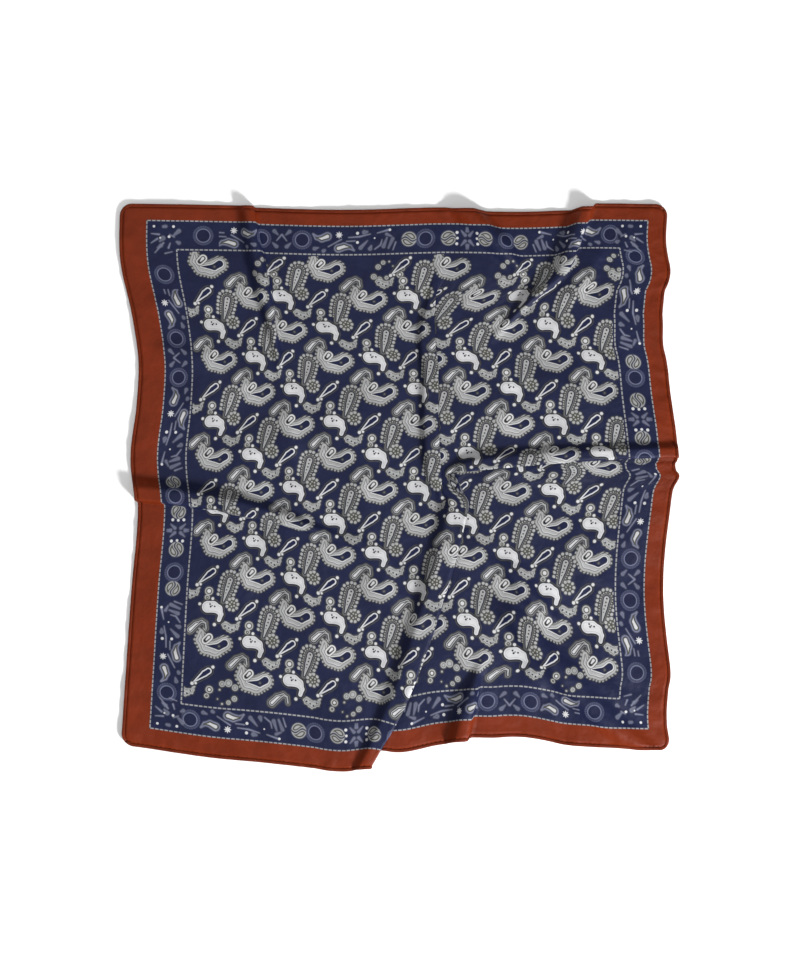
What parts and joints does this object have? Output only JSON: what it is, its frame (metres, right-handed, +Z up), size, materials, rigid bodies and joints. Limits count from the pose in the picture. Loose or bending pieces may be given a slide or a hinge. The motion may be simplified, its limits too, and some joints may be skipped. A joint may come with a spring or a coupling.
{
  "type": "neck scarf",
  "caption": "Square silk neck scarf laid flat, with pressed pleats, softer folds and a narrow rolled hem, printed with an ornamental border and a paisley field.",
  "frame": {"origin": "middle of the laid scarf's outline, on the surface that it lies on", "axes": "+Z up from that surface; +Y towards the top side of the scarf as it is seen from above; +X towards its right side"},
  "size_m": [0.6326, 0.642, 0.0136],
  "materials": {
    "printed_silk": "satin",
    "hem_silk": "satin"
  },
  "bodies": {
    "root": {"scarf_panel": "printed_silk", "hem_top": "hem_silk", "hem_right": "hem_silk", "hem_bottom": "hem_silk", "hem_left": "hem_silk"}
  },
  "joints": []
}
